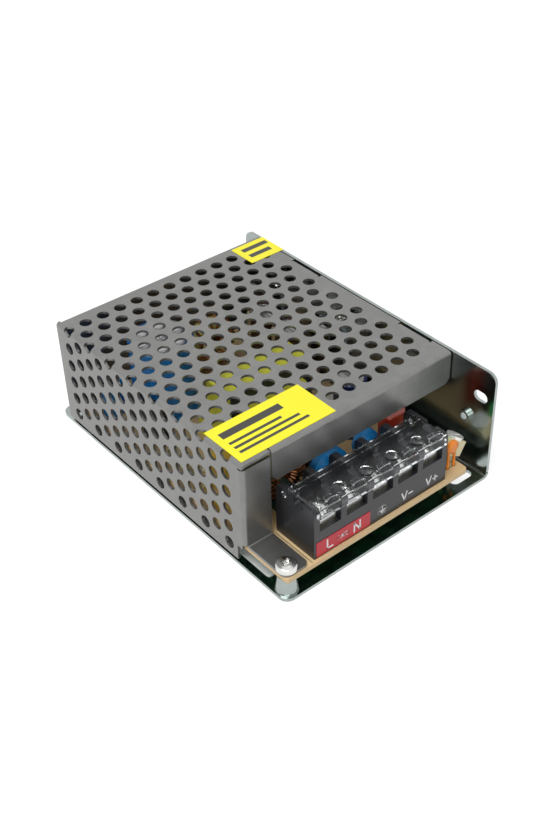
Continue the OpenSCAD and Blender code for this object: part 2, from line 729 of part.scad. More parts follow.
module terminal_block() {
    color("#202020") difference() {
        union() {
            translate([block_x0, block_y0, board_top]) cube([block_w, block_d, block_floor_h]);
            translate([block_x0, block_y1 - block_back_d, board_top])
                cube([block_w, block_back_d, block_floor_h + block_back_h]);
            for (n = [0 : ways])
                along_x(block_x0 + n * way_pitch, block_x0 + n * way_pitch + divider_t) wall_outline();
        }
        // Hinge holes of the clear cover, through the end walls
        translate([block_x0 - 1, pivot_y, pivot_z]) rotate([0, 90, 0])
            cylinder(r = peg_r + peg_play, h = divider_t + 2);
        translate([block_x1 - divider_t - 1, pivot_y, pivot_z]) rotate([0, 90, 0])
            cylinder(r = peg_r + peg_play, h = divider_t + 2);
        for (n = way_list) {
            // Room for the screw's end and for the contact's pin
            bore([way_x(n), screw_y], collar[0] + 0.3, board_top + 1, floor_z + 1);
            bore([way_x(n), contact_pin_y()], lead_r + lead_gap, board_top - 1, floor_z + 1);
            // Room behind the contact in the raised part
            translate([way_x(n) - contact[0] / 2 - 0.2, clamp_y0 - 0.2, floor_z])
                cube([contact[0] + 0.4, contact[1] + 0.4, block_back_h + 1]);
        }
    }
}

// Contact plate on the terminal floor, with its threaded collar and its pin
module terminal_contact(n) {
    color("khaki") difference() {
        union() {
            translate([way_x(n) - contact[0] / 2, clamp_y0, floor_z]) cube(contact);
            bore([way_x(n), screw_y], 2.1, floor_z - 2, floor_z + eps);
            bore([way_x(n), contact_pin_y()], lead_r, lead_z, floor_z + eps);
        }
        bore([way_x(n), screw_y], thread_r + thread_play, floor_z - 3, contact_z + 1);
    }
}

// Clamp plate, captive under the screw head, with a ridge along its front edge
module clamp_plate(n) {
    color("lightgrey") difference() {
        union() {
            translate([way_x(n) - clamp[0] / 2, clamp_y0, contact_z]) cube(clamp);
            for (s = [-1, 1])
                translate([way_x(n) + s * (clamp[0] - clamp_ridge[0]) / 2 - clamp_ridge[0] / 2,
                    clamp_y0, contact_z])
                    cube([clamp_ridge[0], clamp[1], clamp[2] + clamp_ridge[1]]);
        }
        bore([way_x(n), screw_y], thread_r + 0.15, contact_z - 1, clamp_z + 1);
    }
}

module terminal_screw(n) {
    color("gainsboro") translate([way_x(n), screw_y, clamp_z]) pan_screw(terminal_screw_len, [2.8, 1.9]);
}

// Clear hinged cover: plate, front lip, end cheeks with hinge pegs, bosses
module terminal_cover() {
    x0 = block_x0 + lid_inset[0];
    x1 = block_x1 - lid_inset[1];
    lip_t = 1.0;
    cheek_t = 1.2;
    cheek_r = 1.6;
    step = 0.4;
    boss_y = block_y0 + lid_boss[0];
    color([0.85, 0.9, 0.92, 0.35]) {
        difference() {
            translate([x0, lid_y0, lid_z]) cube([x1 - x0, lid_y1 - lid_y0, lid_t]);
            translate([x0 - 1, lid_y1 - 2.4, lid_z + lid_t - step]) cube([x1 - x0 + 2, 3, 1]);
        }
        translate([x0, lid_y0, lid_z + lid_t - lid_lip_h]) cube([x1 - x0, lip_t, lid_lip_h]);
        for (n = [1 : ways - 1])
            bore([block_x0 + n * way_pitch + divider_t / 2, boss_y], lid_boss[0], lid_z,
                lid_z + lid_t + lid_boss[1]);
        for (s = [0, 1]) {
            face = s == 0 ? block_x0 + divider_t + 0.25 : block_x1 - divider_t - 0.25 - cheek_t;
            along_x(face, face + cheek_t) union() {
                translate([pivot_y, pivot_z]) circle(cheek_r);
                translate([pivot_y - cheek_r, pivot_z]) square([cheek_r + 0.4, lid_z - pivot_z + eps]);
            }
            translate([s == 0 ? block_x0 + 0.1 : face, pivot_y, pivot_z]) rotate([0, 90, 0])
                cylinder(r = peg_r, h = divider_t + 0.15 + cheek_t);
        }
    }
}

// ---------------------------------------------------------------- labels

module mains_label() {
    color("crimson") translate([block_x0 + 0.7, block_y0 - label_t, board_top + 0.5])
        cube([mains_label_size[0], label_t, mains_label_size[1]]);
}

module top_label() {
    color("yellow") translate([x_left + top_label_at[0], cover_y0 + top_label_at[1], case_h])
        cube([top_label_size[0], top_label_size[1], label_t]);
}

// Seal across the joint of cover and side wall
module seal_label() {
    y1 = cover_y1 - seal_rear;
    color("yellow") translate([x_right - seal_size[0], y1 - seal_size[1], case_h])
        cube([seal_size[0], seal_size[1], label_t]);
}

// ---------------------------------------------------------------- parts on the board

// Electrolytic capacitor: sleeve with its groove near the board and its rolled rim
module can(p, size, points) {
    r = size[0];
    h = size[1];
    groove = r * 0.09;
    rim = r * 0.16;
    translate([p[0], p[1], board_top]) rotate_extrude() polygon([
        [0, 0], [r - 0.3, 0], [r, 0.3], [r, 1.4], [r - groove, 1.4 + groove], [r, 1.4 + 2 * groove],
        [r, h - 0.4], [r - 0.4, h], [r - rim, h], [r - rim - 0.3, h - 0.4], [0, h - 0.4]]);
    leads(points, board_top + eps);
}

module bulk_capacitor() { color("royalblue") can(bulk_at, bulk_can, bulk_leads); }
module small_capacitor() { color("royalblue") can(small_at, small_can, small_leads); }
module output_capacitor(n) {
    color("darkslategrey") can(output_at[n - 1], output_can, pair(output_at[n - 1], 5, 0));
}

// Box capacitor standing on its feet
module filter_capacitor() {
    color("gold") {
        translate([filter_at[0], filter_at[1], board_top]) difference() {
            translate([-filter_box[0] / 2, -filter_box[1] / 2, 0]) cube(filter_box);
            translate([-filter_box[0], -filter_box[1] / 2 + 2, -1])
                cube([2 * filter_box[0], filter_box[1] - 4, 1.5]);
        }
        leads(filter_leads, board_top + 1);
    }
}

// Dipped disc standing on its edge, facing along Y
module disc(p, r, t, lift, points) {
    translate([p[0], p[1] + t / 2, board_top + lift + r]) rotate([90, 0, 0]) rotate_extrude() union() {
        square([r - t / 2, t]);
        translate([0, t * 0.25]) square([r, t * 0.5]);
        polygon([[0, 0], [r - t * 0.5, 0], [r, t * 0.25], [r, t * 0.75], [r - t * 0.5, t], [0, t]]);
    }
    leads(points, board_top + lift + r * 0.6);
}

module varistor() { color("dodgerblue") disc(varistor_at, 6.5, 4.6, 1.5, varistor_leads); }
module suppressor_capacitor() { color("dodgerblue") disc(suppressor_at, 4.2, 4, 5.5, suppressor_leads); }
module disc_capacitor() { color("darkorange") disc(disc_at, 2.2, 1.9, 5.2, disc_leads); }
module thermistor() {
    color("darkolivegreen") translate([thermistor_at[0], thermistor_at[1], 0]) rotate([0, 0, 90])
        translate([-thermistor_at[0], -thermistor_at[1], 0])
            disc(thermistor_at, 4.5, 4, 2, pair(thermistor_at, 5, 0));
}

module film_capacitor() {
    color("orangered") {
        translate([film_at[0] - 4, film_at[1] - 2.4, board_top + 1.5]) hull() {
            translate([0, 1, 0]) cube([8, 2.8, 13.5]);
            translate([1, 0, 1]) cube([6, 4.8, 11.5]);
        }
        leads(film_leads, board_top + 2.5);
    }
}

// Toroid winding: a wire that runs round the ring's section from angle a0 to a1
function coil_point(radius, section, a, phi) =
    let (m = radius + section * cos(phi)) [m * cos(a), -section * sin(phi), m * sin(a)];
module coil(radius, section, a0, a1, turns) {
    steps = turns * 12;
    sides = 6;
    gap = 0.08;
    s = section + wire_r + gap;
    rings = [for (k = [0 : steps])
        let (a = a0 + (a1 - a0) * k / steps, phi = 360 * turns * k / steps,
            c = coil_point(radius, s, a, phi), n = (c - coil_point(radius, 0, a, 0)) / s,
            q = coil_point(radius, s, a + (a1 - a0) / steps, phi + 360 * turns / steps),
            u = (q - c) / norm(q - c), b = cross(u, n) / norm(cross(u, n)))
        [for (m = [0 : sides - 1]) c + wire_r * (cos(60 * m) * n + sin(60 * m) * b)]];
    body = [for (k = [0 : steps - 1], m = [0 : sides - 1])
        [k * sides + m, (k + 1) * sides + m, (k + 1) * sides + (m + 1) % sides, k * sides + (m + 1) % sides]];
    polyhedron(points = [for (g = rings) each g],
        faces = concat([[for (m = [sides - 1 : -1 : 0]) m]], body,
            [[for (m = [0 : sides - 1]) steps * sides + m]]),
        convexity = 10);
}

choke_z = board_top + choke[0] + choke[1] + 1.6;
module choke_core() {
    color("darkslategrey") translate([choke_at[0], choke_at[1], choke_z]) ring(choke[0], choke[1]);
    color("darkslategrey") difference() {
        translate([choke_at[0] - 5, choke_at[1] - 4.6, board_top]) cube([10, 9.2, 1.4]);
        for (p = choke_leads) bore(p, lead_r + 0.1, board_top - 1, board_top + 2);
    }
}
module choke_winding() {
    color("peru") translate([choke_at[0], choke_at[1], choke_z]) {
        coil(choke[0], choke[1], -60, 60, 7);
        coil(choke[0], choke[1], 120, 240, 7);
    }
}

inductor_z = board_top + inductor[0] + inductor[1] + 1.2;
module inductor_core() {
    color("khaki") translate([inductor_at[0], inductor_at[1], inductor_z]) ring(inductor[0], inductor[1]);
}
module inductor_winding() {
    color("peru") translate([inductor_at[0], inductor_at[1], inductor_z])
        coil(inductor[0], inductor[1], -70, 250, 18);
}

// Transformer: a ferrite core whose middle leg runs through the bobbin's winding
core_z = board_top + bobbin[2];
window = [core_size[0] / 2 - core_limb[0] - core_limb[1] / 2, core_size[2] - 2 * core_limb[0]];
module transformer_core() {
    window_x = (core_limb[1] + window[0]) / 2;
    color("#303030") translate([transformer_at[0], transformer_at[1], core_z]) difference() {
        translate([-core_size[0] / 2, -core_size[1] / 2, 0]) cube(core_size);
        for (s = [-1, 1]) translate([s * window_x - window[0] / 2, -core_size[1], core_limb[0]])
            cube([window[0], 2 * core_size[1], window[1]]);
    }
}

module transformer_winding() {
    gap = 0.1;
    x = core_size[0] / 2 - core_limb[0] - gap;
    z0 = core_z + core_limb[0] + gap;
    z1 = z0 + window[1] - 2 * gap;
    core_y = core_size[1] / 2 + gap;
    leg = core_limb[1] / 2 + gap;
    color("gold") translate([transformer_at[0], transformer_at[1], 0]) {
        between(z0, z1) difference() {
            rounded([-x, -winding_d / 2], [x, winding_d / 2], 3);
            translate([-leg, -core_y]) square([2 * leg, 2 * core_y]);
        }
        for (s = [-1, 1]) mirror([0, (1 - s) / 2, 0]) translate([-bobbin[0] / 2, core_y, board_top])
            cube([bobbin[0], bobbin[1] / 2 - core_y, z0 - board_top + eps]);
        translate([-bobbin[0] / 2, -bobbin[1] / 2, board_top]) cube([bobbin[0], bobbin[1], bobbin[2] - gap]);
    }
    leads(transformer_leads, board_top + eps);
}

module bridge_rectifier() {
    color("#262626") {
        translate([bridge_at[0] - 1.8, bridge_at[1] - 7.2, board_top + 3]) cube([3.6, 14.4, 11]);
        leads(bridge_leads, board_top + 3 + eps);
    }
}

// Glass fuse with end caps and leads
module fuse() {
    z = board_top + 3.2;
    color("lightgrey") {
        translate([fuse_at[0], fuse_at[1] + 10, z]) rotate([90, 0, 0]) {
            cylinder(r = 2.6, h = 5);
            translate([0, 0, 4]) cylinder(r = 2.4, h = 12);
            translate([0, 0, 15]) cylinder(r = 2.6, h = 5);
            translate([0, 0, -1.8]) cylinder(r = lead_r, h = 23.6);
        }
        for (p = fuse_leads) bore(p, lead_r, lead_z, z + lead_r);
    }
}

// Dual in-line chip with n leads a side
module chip(p, n, size) {
    translate([p[0] - size[0] / 2, p[1] - size[1] / 2, board_top + 0.5]) cube(size);
    for (q = dip(p, n)) {
        bore(q, lead_r * 0.7, lead_z, board_top + 2.2);
        translate([q[0] - 0.4, min(q[1], p[1]), board_top + 1.9]) cube([0.8, abs(q[1] - p[1]), 0.3]);
    }
}
module control_chip() { color("#262626") chip(chip_at, 4, [9.6, 6.2, 3.4]); }
module optocoupler() { color("white") chip(coupler_at, 2, [4.8, 6.2, 3.4]); }

// Axial resistor with its leads bent down
module load_resistor() {
    z = board_top + 2.2;
    color("lightsteelblue") {
        translate([resistor_at[0] - 5, resistor_at[1], z]) rotate([0, 90, 0]) {
            cylinder(r = 1.8, h = 10);
            translate([0, 0, 0]) cylinder(r = 2.1, h = 2.4);
            translate([0, 0, 7.6]) cylinder(r = 2.1, h = 2.4);
            translate([0, 0, -2.5]) cylinder(r = lead_r, h = 15);
        }
        for (p = resistor_leads) bore(p, lead_r, lead_z, z + lead_r);
    }
}

// Indicator lamp on long leads
module indicator_lamp() {
    color("limegreen") {
        translate([lamp_at[0], lamp_at[1], board_top + 4.4]) {
            cylinder(r = 1.9, h = 1);
            cylinder(r = 1.5, h = 3.8);
            translate([0, 0, 3.8]) sphere(r = 1.5);
        }
        leads(lamp_leads, board_top + 4.4 + eps, 0.3);
    }
}

// Output trimmer, leaning towards the side wall, and its rotor with the driver slot
trimmer_foot = board_top + 0.7;
trimmer_z = 1.2;
rotor_z = trimmer_z + trimmer[1] + 0.05;
module lean() {
    translate([trimmer_at[0], trimmer_at[1], trimmer_foot]) rotate([0, trimmer_tilt, 0]) children();
}
module trimmer_body() {
    w = trimmer[0];
    color("cornsilk") {
        lean() difference() {
            translate([-w / 2, -w / 2, trimmer_z]) cube([w, w, trimmer[1]]);
            translate([0, 0, trimmer_z + 2]) cylinder(r = rotor[2] + 0.05, h = trimmer[1]);
        }
        leads(trimmer_leads, trimmer_foot + 2.8, 0.35);
    }
}
module trimmer_rotor() {
    color("gainsboro") lean() difference() {
        union() {
            translate([0, 0, rotor_z]) cylinder(r = rotor[0], h = rotor[1]);
            translate([0, 0, trimmer_z + 2.2]) cylinder(r = rotor[2], h = rotor_z - trimmer_z - 2.2 + eps);
        }
        translate([-rotor[0] * 0.8, -0.4, rotor_z + rotor[1] - 0.5]) cube([rotor[0] * 1.6, 0.8, 2]);
    }
}

// ---------------------------------------------------------------- assembly

base_bracket();
cover();
insulating_sheet();
circuit_board();
board_screws();
wall_screws();
heat_bar();
switching_transistor();
output_rectifier();
transistor_pad();
rectifier_pad();
transistor_clip();
rectifier_clip();
clip_screws();
terminal_block();
for (n = way_list) {
    terminal_contact(n);
    clamp_plate(n);
    terminal_screw(n);
}
terminal_cover();
mains_label();
top_label();
seal_label();
bulk_capacitor();
small_capacitor();
for (n = [1 : 3]) output_capacitor(n);
transformer_core();
transformer_winding();
filter_capacitor();
choke_core();
choke_winding();
varistor();
suppressor_capacitor();
film_capacitor();
disc_capacitor();
indicator_lamp();
trimmer_body();
trimmer_rotor();
inductor_core();
inductor_winding();
bridge_rectifier();
fuse();
thermistor();
control_chip();
optocoupler();
load_resistor();
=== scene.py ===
"""Switching power supply in a vented case: camera, light, finishes and the dressed pieces."""

import math

import bmesh
import bpy
from mathutils import Matrix, Vector


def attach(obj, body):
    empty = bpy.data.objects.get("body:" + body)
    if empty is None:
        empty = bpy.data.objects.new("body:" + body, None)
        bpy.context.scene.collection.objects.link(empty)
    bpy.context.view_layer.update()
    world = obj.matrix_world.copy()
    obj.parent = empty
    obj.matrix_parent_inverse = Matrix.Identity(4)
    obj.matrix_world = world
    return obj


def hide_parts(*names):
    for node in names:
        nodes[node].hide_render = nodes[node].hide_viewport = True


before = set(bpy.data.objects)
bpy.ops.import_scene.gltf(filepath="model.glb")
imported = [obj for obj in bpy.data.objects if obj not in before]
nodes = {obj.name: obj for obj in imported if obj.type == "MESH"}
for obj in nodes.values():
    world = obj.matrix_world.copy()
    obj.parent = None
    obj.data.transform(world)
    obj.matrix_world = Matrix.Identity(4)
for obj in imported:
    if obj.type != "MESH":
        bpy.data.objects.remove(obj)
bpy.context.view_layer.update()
MM = 0.001
TAU = 2 * math.pi

# ------------------------------------------------------------------ sizes, in millimetres

BOARD_TOP = 7.6
BOARD_UNDER = 6.0
BLOCK_LEFT, BLOCK_FRONT = -27.4, -53.6
WAY_PITCH, DIVIDER = 9.5, 2.0
WAYS = range(1, 6)
CLAMP_TOP = 18.4
SCREW_Y = -48.5


def way_x(n):
    return BLOCK_LEFT + DIVIDER / 2 + (n - 0.5) * WAY_PITCH


# ------------------------------------------------------------------ camera, light and floor


def place_camera():
    data = bpy.data.cameras.new("camera")
    data.lens, data.sensor_width = 52.234, 36.0
    data.clip_start, data.clip_end = 0.01, 20.0
    camera = bpy.data.objects.new("camera", data)
    bpy.context.scene.collection.objects.link(camera)
    right = Vector((0.767323, -0.640873, -0.022185))
    up = Vector((0.408056, 0.461298, 0.787836))
    back = Vector((-0.494671, -0.613584, 0.615483))
    turn = Matrix((right, up, back)).transposed().to_4x4()
    camera.matrix_world = Matrix.Translation((-0.17772, -0.22620, 0.23508)) @ turn
    bpy.context.scene.camera = camera


def area_lamp(name, place, aim, size, watts):
    data = bpy.data.lights.new(name, "AREA")
    data.energy, data.shape, data.size, data.size_y = watts, "RECTANGLE", size[0], size[1]
    lamp = bpy.data.objects.new(name, data)
    lamp.location = place
    lamp.rotation_mode = "QUATERNION"
    lamp.rotation_quaternion = (Vector(aim) - Vector(place)).to_track_quat("-Z", "Y")
    bpy.context.scene.collection.objects.link(lamp)


def seen_directly(tree):
    """A mask that is 1 for what the camera, a reflection or clear plastic sees of the backdrop."""
    path = tree.nodes.new("ShaderNodeLightPath")
    first = tree.nodes.new("ShaderNodeMath")
    first.operation = "MAXIMUM"
    tree.links.new(path.outputs["Is Camera Ray"], first.inputs[0])
    tree.links.new(path.outputs["Is Glossy Ray"], first.inputs[1])
    both = tree.nodes.new("ShaderNodeMath")
    both.operation = "MAXIMUM"
    tree.links.new(first.outputs[0], both.inputs[0])
    tree.links.new(path.outputs["Is Transmission Ray"], both.inputs[1])
    return both.outputs[0]


def light_the_studio():
    world = bpy.data.worlds.new("studio")
    bpy.context.scene.world = world
    world.use_nodes = True
    tree = world.node_tree
    tree.nodes.clear()
    out = tree.nodes.new("ShaderNodeOutputWorld")
    room, seen = tree.nodes.new("ShaderNodeBackground"), tree.nodes.new("ShaderNodeBackground")
    room.inputs["Color"].default_value = (1, 1, 1, 1)
    room.inputs["Strength"].default_value = 0.55
    seen.inputs["Color"].default_value = (1, 1, 1, 1)
    mix = tree.nodes.new("ShaderNodeMixShader")
    tree.links.new(seen_directly(tree), mix.inputs[0])
    tree.links.new(room.outputs[0], mix.inputs[1])
    tree.links.new(seen.outputs[0], mix.inputs[2])
    tree.links.new(mix.outputs[0], out.inputs["Surface"])
    bpy.context.scene.view_settings.view_transform = "Standard"
    area_lamp("key", (-0.35, -0.10, 0.75), (0, 0, 0.02), (0.5, 0.5), 4.2)
    area_lamp("fill", (-0.55, -0.65, 0.35), (0, 0, 0.02), (0.6, 0.4), 2.6)


def lay_floor():
    mesh = bpy.data.meshes.new("floor")
    s = 6.0
    mesh.from_pydata([(-s, -s, 0), (s, -s, 0), (s, s, 0), (-s, s, 0)], [], [(0, 1, 2, 3)])
    floor = bpy.data.objects.new("floor", mesh)
    bpy.context.scene.collection.objects.link(floor)
    floor.location.z = -0.00005
    mat = bpy.data.materials.new("floor")
    mat.use_nodes = True
    tree = mat.node_tree
    tree.nodes.clear()
    out = tree.nodes.new("ShaderNodeOutputMaterial")
    matte = tree.nodes.new("ShaderNodeBsdfDiffuse")
    matte.inputs["Color"].default_value = (0.30, 0.30, 0.30, 1)
    glow = tree.nodes.new("ShaderNodeEmission")
    glow.inputs["Color"].default_value = (0.78, 0.78, 0.78, 1)
    tree.links.new(seen_directly(tree), glow.inputs["Strength"])
    add = tree.nodes.new("ShaderNodeAddShader")
    tree.links.new(matte.outputs[0], add.inputs[0])
    tree.links.new(glow.outputs[0], add.inputs[1])
    tree.links.new(add.outputs[0], out.inputs["Surface"])
    mesh.materials.append(mat)


# ------------------------------------------------------------------ shared effects


def group(name, inputs, outputs):
    tree = bpy.data.node_groups.new(name, "ShaderNodeTree")
    for label, kind, value in inputs:
        socket = tree.interface.new_socket(label, in_out="INPUT", socket_type=kind)
        if value is not None:
            socket.default_value = value
    for label, kind in outputs:
        tree.interface.new_socket(label, in_out="OUTPUT", socket_type=kind)
    return tree, tree.nodes.new("NodeGroupInput"), tree.nodes.new("NodeGroupOutput")


def math_node(tree, operation, a, b=None, clamp=False):
    node = tree.nodes.new("ShaderNodeMath")
    node.operation, node.use_clamp = operation, clamp
    for k, value in enumerate((a, b)):
        if value is None:
            continue
        if isinstance(value, (int, float)):
            node.inputs[k].default_value = value
        else:
            tree.links.new(value, node.inputs[k])
    return node.outputs[0]


def noise_node(tree, vector, scale, detail=3.0, rough=0.55):
    node = tree.nodes.new("ShaderNodeTexNoise")
    for label, value in (("Scale", scale), ("Detail", detail), ("Roughness", rough)):
        if isinstance(value, (int, float)):
            node.inputs[label].default_value = value
        else:
            tree.links.new(value, node.inputs[label])
    tree.links.new(vector, node.inputs["Vector"])
    return node.outputs["Fac"]


def remap(tree, value, low, high, to_low=0.0, to_high=1.0):
    node = tree.nodes.new("ShaderNodeMapRange")
    tree.links.new(value, node.inputs["Value"])
    for label, number in (("From Min", low), ("From Max", high), ("To Min", to_low), ("To Max", to_high)):
        node.inputs[label].default_value = number
    return node.outputs[0]


def object_point(tree):
    return tree.nodes.new("ShaderNodeTexCoord").outputs["Object"]


def stretch(tree, vector, scale):
    node = tree.nodes.new("ShaderNodeMapping")
    tree.links.new(vector, node.inputs["Vector"])
    node.inputs["Scale"].default_value = scale
    return node.outputs[0]


def blend_colour(tree, mask, a, b):
    node = tree.nodes.new("ShaderNodeMix")
    node.data_type = "RGBA"
    tree.links.new(mask, node.inputs[0])
    for k, value in ((6, a), (7, b)):
        if isinstance(value, tuple):
            node.inputs[k].default_value = (*value, 1)
        else:
            tree.links.new(value, node.inputs[k])
    return node.outputs[2]


def build_surface_group():
    """Two-tone mottling, fine grain and sparse scuffs over a surface."""
    tree, into, out = group(
        "surface variation",
        [("Scale", "NodeSocketFloat", 900.0), ("Mottling", "NodeSocketFloat", 0.1),
         ("Scuffs", "NodeSocketFloat", 0.1), ("Colour", "NodeSocketColor", (0.5, 0.5, 0.5, 1)),
         ("Gloss low", "NodeSocketFloat", 0.3), ("Gloss high", "NodeSocketFloat", 0.45)],
        [("Colour", "NodeSocketColor"), ("Roughness", "NodeSocketFloat"), ("Height", "NodeSocketFloat")],
    )
    point = object_point(tree)
    grain = noise_node(tree, point, into.outputs["Scale"], 4.0)
    broad = noise_node(tree, point, 90.0, 2.0)
    scuff = remap(tree, noise_node(tree, stretch(tree, point, (1.0, 5.0, 2.0)), 420.0, 5.0, 0.7), 0.62, 0.72)
    light = math_node(tree, "MULTIPLY", math_node(tree, "SUBTRACT", broad, 0.5), into.outputs["Mottling"])
    fine = math_node(tree, "MULTIPLY", math_node(tree, "SUBTRACT", grain, 0.5), into.outputs["Mottling"])
    value = math_node(tree, "ADD", math_node(tree, "ADD", light, fine), 1.0)
    tint = tree.nodes.new("ShaderNodeHueSaturation")
    tree.links.new(into.outputs["Colour"], tint.inputs["Color"])
    tree.links.new(value, tint.inputs["Value"])
    tree.links.new(tint.outputs[0], out.inputs["Colour"])
    worn = math_node(tree, "MULTIPLY", scuff, into.outputs["Scuffs"])
    span = math_node(tree, "SUBTRACT", into.outputs["Gloss high"], into.outputs["Gloss low"])
    rough = math_node(tree, "ADD", math_node(tree, "MULTIPLY", grain, span), into.outputs["Gloss low"])
    tree.links.new(math_node(tree, "ADD", rough, worn, clamp=True), out.inputs["Roughness"])
    tree.links.new(grain, out.inputs["Height"])
    return tree


def build_spangle_group():
    """The faint crystal pattern and rolling streaks of plated steel sheet."""
    tree, into, out = group(
        "plated sheet",
        [("Colour", "NodeSocketColor", (0.5, 0.5, 0.5, 1)), ("Contrast", "NodeSocketFloat", 0.2),
         ("Gloss", "NodeSocketFloat", 0.25), ("Streak direction", "NodeSocketVector", (1, 1, 1))],
        [("Colour", "NodeSocketColor"), ("Roughness", "NodeSocketFloat"), ("Height", "NodeSocketFloat")],
    )
    point = object_point(tree)
    cell = tree.nodes.new("ShaderNodeTexVoronoi")
    cell.inputs["Scale"].default_value = 260.0
    tree.links.new(point, cell.inputs["Vector"])
    crystal = tree.nodes.new("ShaderNodeRGBToBW")
    tree.links.new(cell.outputs["Color"], crystal.inputs[0])
    product = tree.nodes.new("ShaderNodeVectorMath")
    product.operation = "MULTIPLY"
    tree.links.new(point, product.inputs[0])
    tree.links.new(into.outputs["Streak direction"], product.inputs[1])
    streak = noise_node(tree, product.outputs[0], 300.0, 4.0, 0.6)
    both = math_node(tree, "ADD", math_node(tree, "MULTIPLY", crystal.outputs[0], 0.4),
                     math_node(tree, "MULTIPLY", streak, 0.6))
    centred = math_node(tree, "SUBTRACT", both, 0.5)
    value = math_node(tree, "ADD", math_node(tree, "MULTIPLY", centred, into.outputs["Contrast"]), 1.0)
    tint = tree.nodes.new("ShaderNodeHueSaturation")
    tree.links.new(into.outputs["Colour"], tint.inputs["Color"])
    tree.links.new(value, tint.inputs["Value"])
    tree.links.new(tint.outputs[0], out.inputs["Colour"])
    uneven = math_node(tree, "MULTIPLY", centred, 0.12)
    rough = math_node(tree, "ADD", uneven, into.outputs["Gloss"], clamp=True)
    tree.links.new(rough, out.inputs["Roughness"])
    tree.links.new(streak, out.inputs["Height"])
    return tree


SURFACE = build_surface_group()
SPANGLE = build_spangle_group()


def put_group(tree, shared, **values):
    node = tree.nodes.new("ShaderNodeGroup")
    node.node_tree = shared
    for label, value in values.items():
        socket = node.inputs[label.replace("_", " ")]
        if isinstance(value, tuple):
            socket.default_value = (*value, 1) if socket.type == "RGBA" else value
        elif isinstance(value, (int, float)):
            socket.default_value = value
        else:
            tree.links.new(value, socket)
    return node


def new_finish(name):
    mat = bpy.data.materials.new(name)
    mat.use_nodes = True
    return mat, mat.node_tree, mat.node_tree.nodes["Principled BSDF"]


def wire_up(tree, shader, source, bump, distance=0.00002):
    """Colour, roughness and relief from a shared effect into the shader."""
    tree.links.new(source.outputs["Colour"], shader.inputs["Base Color"])
    tree.links.new(source.outputs["Roughness"], shader.inputs["Roughness"])
    relief = tree.nodes.new("ShaderNodeBump")
    relief.inputs["Strength"].default_value = bump
    relief.inputs["Distance"].default_value = distance
    tree.links.new(source.outputs["Height"], relief.inputs["Height"])
    tree.links.new(relief.outputs[0], shader.inputs["Normal"])


def moulded(name, colour, gloss=(0.35, 0.5), scale=1500.0, bump=0.15, mottling=0.10, scuffs=0.1, coat=0.0):
    mat, tree, shader = new_finish(name)
    source = put_group(tree, SURFACE, Scale=scale, Mottling=mottling, Scuffs=scuffs, Colour=colour,
                       Gloss_low=gloss[0], Gloss_high=gloss[1])
    wire_up(tree, shader, source, bump)
    shader.inputs["Coat Weight"].default_value = coat
    shader.inputs["Coat Roughness"].default_value = 0.12
    return mat


def plated(name, colour, gloss=0.25, contrast=0.2, streaks=(1, 1, 1), bump=0.05, metal=1.0):
    mat, tree, shader = new_finish(name)
    source = put_group(tree, SPANGLE, Colour=colour, Contrast=contrast, Gloss=gloss, Streak_direction=streaks)
    wire_up(tree, shader, source, bump)
    shader.inputs["Metallic"].default_value = metal
    return mat


def bar_mask(tree, point, boxes):
    """1 inside any of the flat boxes (low x, low y, high x, high y), in millimetres."""
    split = tree.nodes.new("ShaderNodeSeparateXYZ")
    tree.links.new(point, split.inputs[0])
    total = None
    for box in boxes:
        inside = None
        for axis, low, high in ((0, box[0], box[2]), (1, box[1], box[3])):
            above = math_node(tree, "GREATER_THAN", split.outputs[axis], low * MM)
            below = math_node(tree, "LESS_THAN", split.outputs[axis], high * MM)
            both = math_node(tree, "MULTIPLY", above, below)
            inside = both if inside is None else math_node(tree, "MULTIPLY", inside, both)
        total = inside if total is None else math_node(tree, "MAXIMUM", total, inside)
    return total


def sticker(name, paper, ink, boxes, turn=None):
    """Printed sticker: plain bars of ink on coloured paper."""
    mat, tree, shader = new_finish(name)
    point = object_point(tree)
    if turn:
        spin = tree.nodes.new("ShaderNodeMapping")
        spin.inputs["Location"].default_value = turn[0]
        spin.inputs["Rotation"].default_value = turn[1]
        tree.links.new(point, spin.inputs["Vector"])
        point = spin.outputs[0]
    colour = blend_colour(tree, bar_mask(tree, point, boxes), paper, ink) if boxes else None
    source = put_group(tree, SURFACE, Scale=700.0, Mottling=0.06, Scuffs=0.15, Gloss_low=0.3, Gloss_high=0.42,
                       Colour=colour if colour is not None else paper)
    wire_up(tree, shader, source, 0.05)
    return mat


